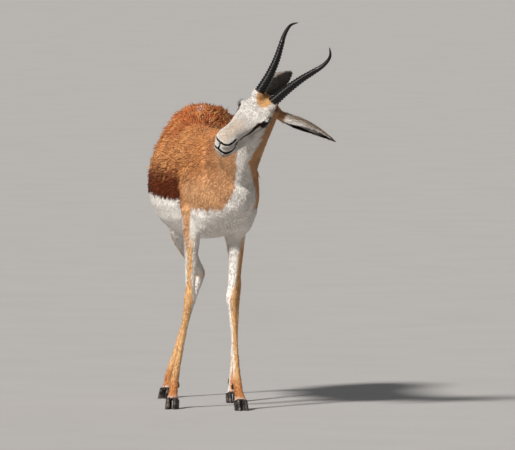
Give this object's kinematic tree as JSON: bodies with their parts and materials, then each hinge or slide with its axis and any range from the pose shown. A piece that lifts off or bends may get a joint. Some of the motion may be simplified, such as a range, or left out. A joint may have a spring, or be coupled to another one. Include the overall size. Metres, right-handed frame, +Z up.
{
  "type": "springbok, still life-size model",
  "caption": "Life-size standing antelope with a slender body, thin legs, ringed lyre-shaped horns and a turned, tilted head.",
  "frame": {"origin": "middle of the foot of the bounding box, at floor level", "axes": "+Z up, -Y the way the animal faces, +X its own left side"},
  "size_m": [0.4574, 1.071, 1.0534],
  "materials": {
    "coat": "short fur, red-brown to fawn with white underparts",
    "horn": "black keratin, ringed, half-gloss",
    "hoof": "dusty dark grey keratin",
    "eye": "wet dark brown"
  },
  "bodies": {
    "root": {"torso": "coat", "neck": "coat", "head": "coat", "tail": "coat", "leg_front_left": "coat", "leg_front_right": "coat", "leg_hind_left": "coat", "leg_hind_right": "coat", "ear_left": "coat", "ear_right": "coat", "eye_left": "eye", "eye_right": "eye", "horn_left": "horn", "horn_right": "horn", "hoof_front_left_inner": "hoof", "hoof_front_left_outer": "hoof", "hoof_front_right_inner": "hoof", "hoof_front_right_outer": "hoof", "hoof_hind_left_inner": "hoof", "hoof_hind_left_outer": "hoof", "hoof_hind_right_inner": "hoof", "hoof_hind_right_outer": "hoof", "dewclaw_front_left_inner": "hoof", "dewclaw_front_left_outer": "hoof", "dewclaw_front_right_inner": "hoof", "dewclaw_front_right_outer": "hoof", "dewclaw_hind_left_inner": "hoof", "dewclaw_hind_left_outer": "hoof", "dewclaw_hind_right_inner": "hoof", "dewclaw_hind_right_outer": "hoof"}
  },
  "joints": []
}
